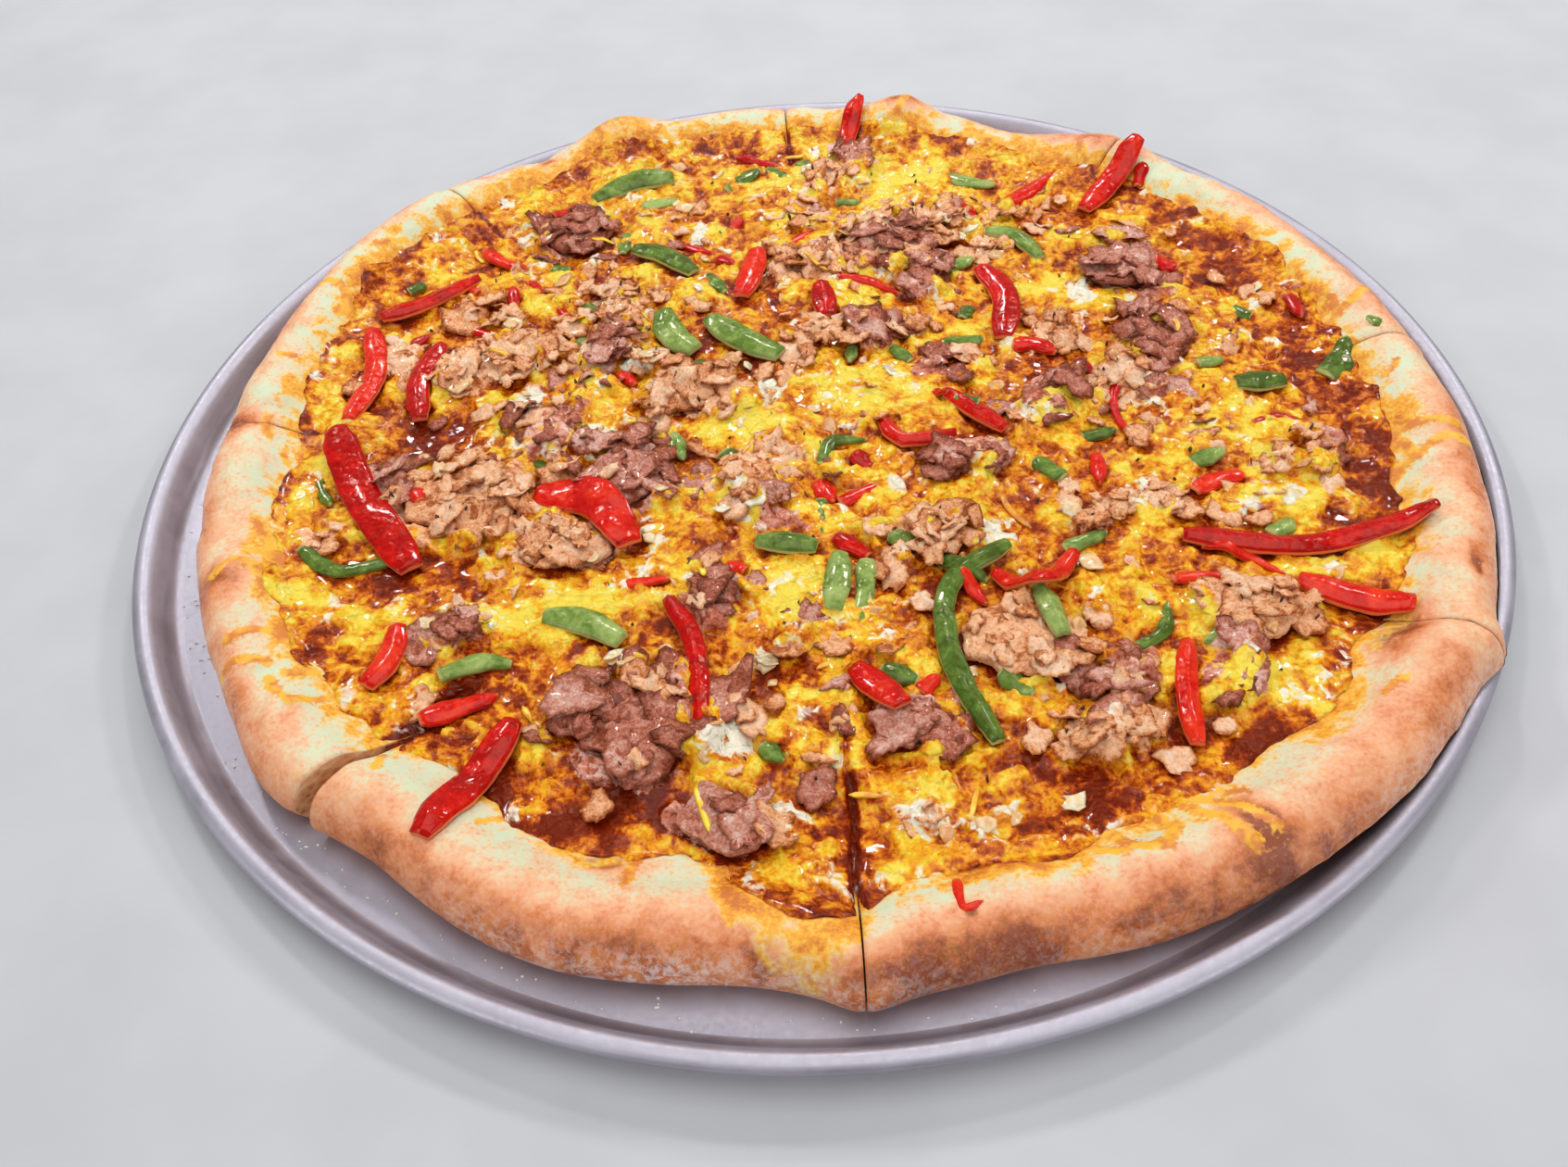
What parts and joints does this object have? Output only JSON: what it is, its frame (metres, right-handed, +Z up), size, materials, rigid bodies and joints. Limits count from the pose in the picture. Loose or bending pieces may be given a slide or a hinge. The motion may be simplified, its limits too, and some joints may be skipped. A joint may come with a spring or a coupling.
{
  "type": "round pizza on a pan",
  "caption": "Large round pizza with a puffed rim, cheese and sauce, steak, chicken and peppers, cut in slices, on a shallow round aluminium pan.",
  "frame": {"origin": "centre of the pan's flat underside, on the surface that it stands on", "axes": "+Z up, -Y towards the viewer, at the front cut of the pizza, +X to the viewer's right"},
  "size_m": [0.457, 0.457, 0.0298],
  "materials": {
    "pan": "dull rolled aluminium with a knurled lip",
    "crust": "baked dough, pale with browned patches and flour dust",
    "cheese": "melted cheddar and mozzarella over brown sauce, oily",
    "red_pepper": "wet cooked pepper skin",
    "green_pepper": "wet cooked pepper skin",
    "steak": "shaved cooked beef, moist",
    "chicken": "pulled cooked chicken, moist"
  },
  "bodies": {
    "root": {"pan": "pan", "crust_slice_1": "crust", "crust_slice_2": "crust", "crust_slice_3": "crust", "crust_slice_4": "crust", "crust_slice_5": "crust", "crust_slice_6": "crust", "crust_slice_7": "crust", "crust_slice_8": "crust", "cheese_slice_1": "cheese", "cheese_slice_2": "cheese", "cheese_slice_3": "cheese", "cheese_slice_4": "cheese", "cheese_slice_5": "cheese", "cheese_slice_6": "cheese", "cheese_slice_7": "cheese", "cheese_slice_8": "cheese", "red_pepper_01": "red_pepper", "red_pepper_02": "red_pepper", "red_pepper_03": "red_pepper", "red_pepper_04": "red_pepper", "red_pepper_05": "red_pepper", "red_pepper_06": "red_pepper", "red_pepper_07": "red_pepper", "red_pepper_08": "red_pepper", "red_pepper_09": "red_pepper", "red_pepper_10": "red_pepper", "red_pepper_11": "red_pepper", "red_pepper_12": "red_pepper", "red_pepper_13": "red_pepper", "red_pepper_14": "red_pepper", "red_pepper_15": "red_pepper", "red_pepper_16": "red_pepper", "red_pepper_17": "red_pepper", "red_pepper_18": "red_pepper", "red_pepper_19": "red_pepper", "red_pepper_20": "red_pepper", "green_pepper_01": "green_pepper", "green_pepper_02": "green_pepper", "green_pepper_03": "green_pepper", "green_pepper_04": "green_pepper", "green_pepper_05": "green_pepper", "green_pepper_06": "green_pepper", "green_pepper_07": "green_pepper", "green_pepper_08": "green_pepper", "green_pepper_09": "green_pepper", "green_pepper_10": "green_pepper", "green_pepper_11": "green_pepper", "steak_01": "steak", "steak_02": "steak", "steak_03": "steak", "steak_04": "steak", "steak_05": "steak", "steak_06": "steak", "steak_07": "steak", "chicken_01": "chicken", "chicken_02": "chicken", "chicken_03": "chicken", "chicken_04": "chicken", "chicken_05": "chicken"}
  },
  "joints": []
}
